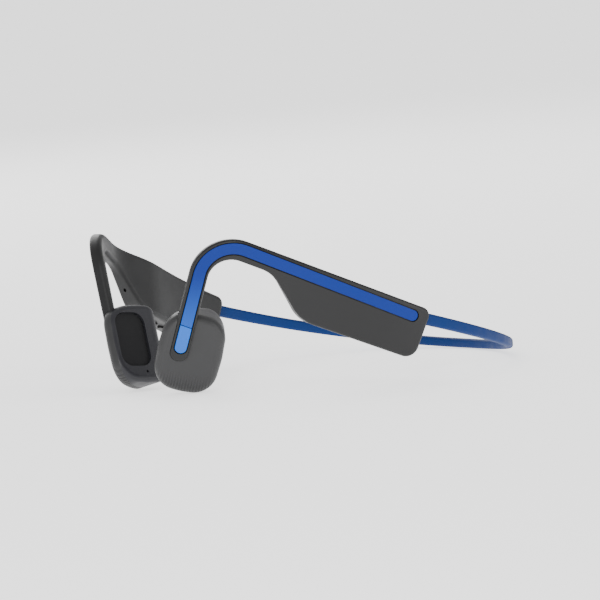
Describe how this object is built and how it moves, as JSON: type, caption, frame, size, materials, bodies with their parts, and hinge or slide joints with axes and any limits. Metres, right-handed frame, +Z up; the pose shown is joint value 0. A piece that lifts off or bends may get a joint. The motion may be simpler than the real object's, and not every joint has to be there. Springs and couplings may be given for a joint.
{
  "type": "bone conduction headphones",
  "caption": "Open-ear bone conduction headphones with a sprung neckband, ear-hook arms, slim electronics pods and cheekbone transducers.",
  "frame": {"origin": "centre of the bounding box in plan, at the height of the surface the headphones lie on", "axes": "+X towards the wearer's left, +Y towards the back of the neck, +Z up; the transducers are at the front, -Y"},
  "size_m": [0.1184, 0.1272, 0.0461],
  "materials": {
    "band_silicone": "matte",
    "titanium": "satin",
    "wire_jacket": "matte",
    "charcoal_shell": "satin",
    "cap_plastic": "satin",
    "housing_plastic": "satin",
    "blue_stripe": "satin",
    "button_blue": "satin",
    "soft_pad": "matte",
    "seal_rubber": "matte",
    "circuit_board": "satin",
    "steel": "satin",
    "magnet_plating": "polished",
    "copper_coil": "satin",
    "battery_foil": "satin",
    "dark_moulding": "satin",
    "clear_plastic": "gloss"
  },
  "bodies": {
    "neckband": {"neckband_sleeve": "band_silicone", "neckband_core": "titanium", "neckband_wires": "wire_jacket"},
    "left_arm": {"left_pod_cover": "charcoal_shell", "left_pod_gasket": "seal_rubber", "left_hook_core": "titanium", "left_hook_leads": "wire_jacket", "left_band_ferrule": "seal_rubber", "left_transducer_cap": "cap_plastic", "left_contact_pad": "soft_pad", "left_drive_plate": "steel", "left_voice_coil": "copper_coil", "left_flexure": "steel", "left_transducer_housing": "housing_plastic", "left_stripe": "blue_stripe", "left_arm_shell": "charcoal_shell", "button_board": "circuit_board", "button_switch": "steel", "battery": "battery_foil", "battery_foam": "seal_rubber", "battery_board": "circuit_board"},
    "right_arm": {"right_pod_cover": "charcoal_shell", "right_pod_gasket": "seal_rubber", "right_hook_core": "titanium", "right_hook_leads": "wire_jacket", "right_band_ferrule": "seal_rubber", "right_transducer_cap": "cap_plastic", "right_contact_pad": "soft_pad", "right_drive_plate": "steel", "right_voice_coil": "copper_coil", "right_flexure": "steel", "right_transducer_housing": "housing_plastic", "right_stripe": "blue_stripe", "right_arm_shell": "charcoal_shell", "main_board": "circuit_board", "board_screws": "steel", "shield_can": "steel", "antenna": "dark_moulding", "usb_receptacle": "steel", "volume_switches": "dark_moulding", "light_guide": "clear_plastic", "pod_microphone": "steel", "cheek_microphone": "steel", "microphone_meshes": "steel"},
    "multifunction_button": {"multifunction_button": "button_blue"},
    "volume_up": {"volume_up_button": "charcoal_shell"},
    "volume_down": {"volume_down_button": "charcoal_shell"},
    "charge_cover": {"charge_port_cover": "seal_rubber"},
    "left_driver": {"left_driver_yoke": "steel", "left_driver_magnet": "magnet_plating", "left_driver_top_plate": "steel"},
    "right_driver": {"right_driver_yoke": "steel", "right_driver_magnet": "magnet_plating", "right_driver_top_plate": "steel"}
  },
  "joints": [
    {"name": "left_arm_flex", "type": "hinge", "parent": "neckband", "child": "left_arm", "pos_m": [0.03, 0.055, 0.004], "axis": [0, 0, 1], "range_deg": [-3, 25], "stiffness_Nm_per_rad": 0.25, "deforming": ["neckband_sleeve", "neckband_core", "neckband_wires"]},
    {"name": "right_arm_flex", "type": "hinge", "parent": "neckband", "child": "right_arm", "pos_m": [-0.03, 0.055, 0.004], "axis": [0, 0, -1], "range_deg": [-3, 25], "stiffness_Nm_per_rad": 0.25, "deforming": ["neckband_sleeve", "neckband_core", "neckband_wires"]},
    {"name": "multifunction_press", "type": "slide", "parent": "left_arm", "child": "multifunction_button", "axis": [-0.546, 0.8279, 0.1279], "range_m": [0, 0.0003], "stiffness_N_per_m": 2000},
    {"name": "volume_up_press", "type": "slide", "parent": "right_arm", "child": "volume_up", "axis": [-0.2689, 0.3155, 0.91], "range_m": [0, 0.0003], "stiffness_N_per_m": 2000},
    {"name": "volume_down_press", "type": "slide", "parent": "right_arm", "child": "volume_down", "axis": [-0.2396, 0.3348, 0.9113], "range_m": [0, 0.0003], "stiffness_N_per_m": 2000},
    {"name": "charge_cover_swing", "type": "hinge", "parent": "right_arm", "child": "charge_cover", "pos_m": [-0.05351, -0.00504, 0.00771], "axis": [0.9466, 0.3134, 0.0764], "range_deg": [0, 100]},
    {"name": "left_driver_travel", "type": "slide", "parent": "left_arm", "child": "left_driver", "axis": [-0.9318, 0.0385, 0.3611], "range_m": [-0.0001, 0.0001], "stiffness_N_per_m": 8000, "deforming": ["left_flexure"]},
    {"name": "right_driver_travel", "type": "slide", "parent": "right_arm", "child": "right_driver", "axis": [0.9318, 0.0385, 0.3611], "range_m": [-0.0001, 0.0001], "stiffness_N_per_m": 8000, "deforming": ["right_flexure"]}
  ]
}
